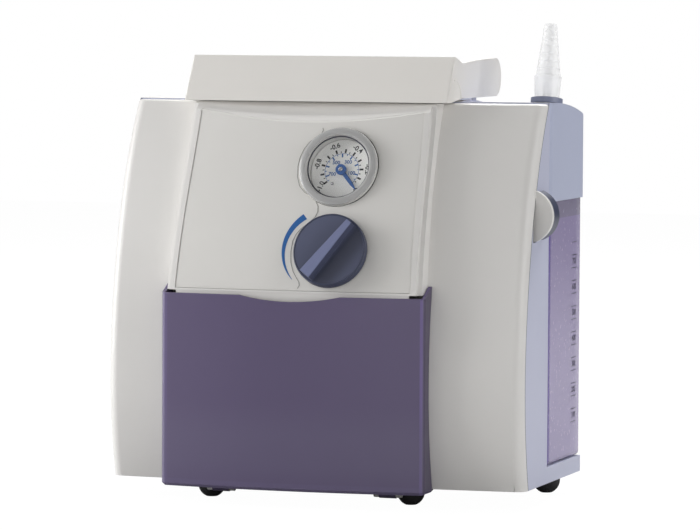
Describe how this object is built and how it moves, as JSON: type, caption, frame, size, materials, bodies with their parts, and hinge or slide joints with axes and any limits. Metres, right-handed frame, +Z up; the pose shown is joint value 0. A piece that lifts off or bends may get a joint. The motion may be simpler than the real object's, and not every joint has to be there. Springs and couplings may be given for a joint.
{
  "type": "vacuum aspirator",
  "caption": "Portable suction unit: bowed grey housing with handle, gauge, regulator knob, tip-out tinted pocket, and a docked clear jar with lid and stepped hose connector.",
  "frame": {"origin": "bottom centre of the whole object, on the table", "axes": "+X to the user's right, +Y to the back, +Z up"},
  "size_m": [0.3182, 0.1996, 0.3376],
  "materials": {
    "shell": "moulded light grey ABS, fine satin",
    "housing": "moulded pale lavender ABS, satin",
    "panel": "printed panel foil, satin",
    "slate": "moulded slate blue plastic",
    "lid": "moulded grey blue plastic",
    "tinted": "smoked violet transparent plastic",
    "jar_clear": "violet transparent polysulphone",
    "clear": "clear window",
    "white": "white moulded plastic",
    "dial": "white dial",
    "needle": "blue painted metal",
    "rubber": "black rubber",
    "steel": "bright steel",
    "aluminium": "die-cast aluminium",
    "brass": "turned brass",
    "board": "circuit board",
    "black": "black moulded plastic"
  },
  "bodies": {
    "housing": {"front_shell": "shell", "rear_housing": "housing", "control_panel": "panel", "hose_peg": "slate", "rubber_feet": "rubber", "gauge_case": "clear", "gauge_dial": "dial", "gauge_lens": "clear", "regulator_body": "brass", "pocket_hinges": "shell", "handle_pivots": "housing", "docking_nozzle": "white", "docking_seal": "rubber", "pump_motor": "aluminium", "connecting_rod": "aluminium", "pump_bracket": "steel", "rubber_mounts": "rubber", "diaphragm": "rubber", "pump_head": "aluminium", "valve_plate": "steel", "head_cover": "aluminium", "head_bolts": "steel", "silencer": "black", "power_board": "board", "board_shelf": "housing", "mains_inlet": "black", "switch_frame": "black"},
    "knob": {"regulator_knob": "slate", "regulator_stem": "steel"},
    "valve": {"regulator_needle": "steel"},
    "needle": {"gauge_needle": "needle"},
    "pocket": {"accessory_pocket": "tinted"},
    "handle": {"handle": "shell"},
    "jar": {"suction_jar": "jar_clear"},
    "lid": {"jar_lid": "lid", "lid_seal": "rubber", "spout_ring": "slate", "float_cage": "white", "bacteria_filter": "white"},
    "connector": {"hose_connector": "white"},
    "float": {"overflow_float": "white"},
    "rotor": {"motor_shaft": "steel", "cooling_fan": "black", "eccentric": "steel"},
    "rocker": {"mains_switch": "black"}
  },
  "joints": [
    {"name": "knob_turn", "type": "hinge", "parent": "housing", "child": "knob", "pos_m": [0.0127, -0.07993, 0.1785], "axis": [0, -0.9397, 0.342], "range_deg": [-135, 135]},
    {"name": "valve_lift", "type": "slide", "parent": "housing", "child": "valve", "axis": [0, -0.9397, 0.342], "range_m": [-0.0006, 0.0006]},
    {"name": "needle_swing", "type": "hinge", "parent": "housing", "child": "needle", "pos_m": [0.0104, -0.05817, 0.2368], "axis": [0, -0.9397, 0.342], "range_deg": [0, 270], "stiffness_Nm_per_rad": 0.00005},
    {"name": "pocket_tilt", "type": "hinge", "parent": "housing", "child": "pocket", "pos_m": [-0.0157, -0.05346, 0.0094], "axis": [1, 0, 0], "range_deg": [0, 16]},
    {"name": "handle_swing", "type": "hinge", "parent": "housing", "child": "handle", "pos_m": [-0.0157, 0.08604, 0.2984], "axis": [-1, 0, 0], "range_deg": [0, 55]},
    {"name": "jar_pull", "type": "slide", "parent": "housing", "child": "jar", "axis": [1, 0, 0], "range_m": [0, 0.075]},
    {"name": "lid_lift", "type": "slide", "parent": "jar", "child": "lid", "axis": [0, 0, 1], "range_m": [0, 0.04]},
    {"name": "connector_pull", "type": "slide", "parent": "lid", "child": "connector", "axis": [0, 0.1736, 0.9848], "range_m": [0, 0.02]},
    {"name": "float_rise", "type": "slide", "parent": "lid", "child": "float", "axis": [0, 0, 1], "range_m": [0, 0.03]},
    {"name": "motor_spin", "type": "hinge", "parent": "housing", "child": "rotor", "pos_m": [-0.0681, 0.02254, 0.066], "axis": [1, 0, 0], "continuous": true},
    {"name": "rocker_tip", "type": "hinge", "parent": "housing", "child": "rocker", "pos_m": [-0.0841, 0.08354, 0.041], "axis": [1, 0, 0], "range_deg": [-8, 8]}
  ],
  "couplings": [
    {"joint": "valve_lift", "follows": "knob_turn", "m_per_rad": 0.00025465}
  ]
}
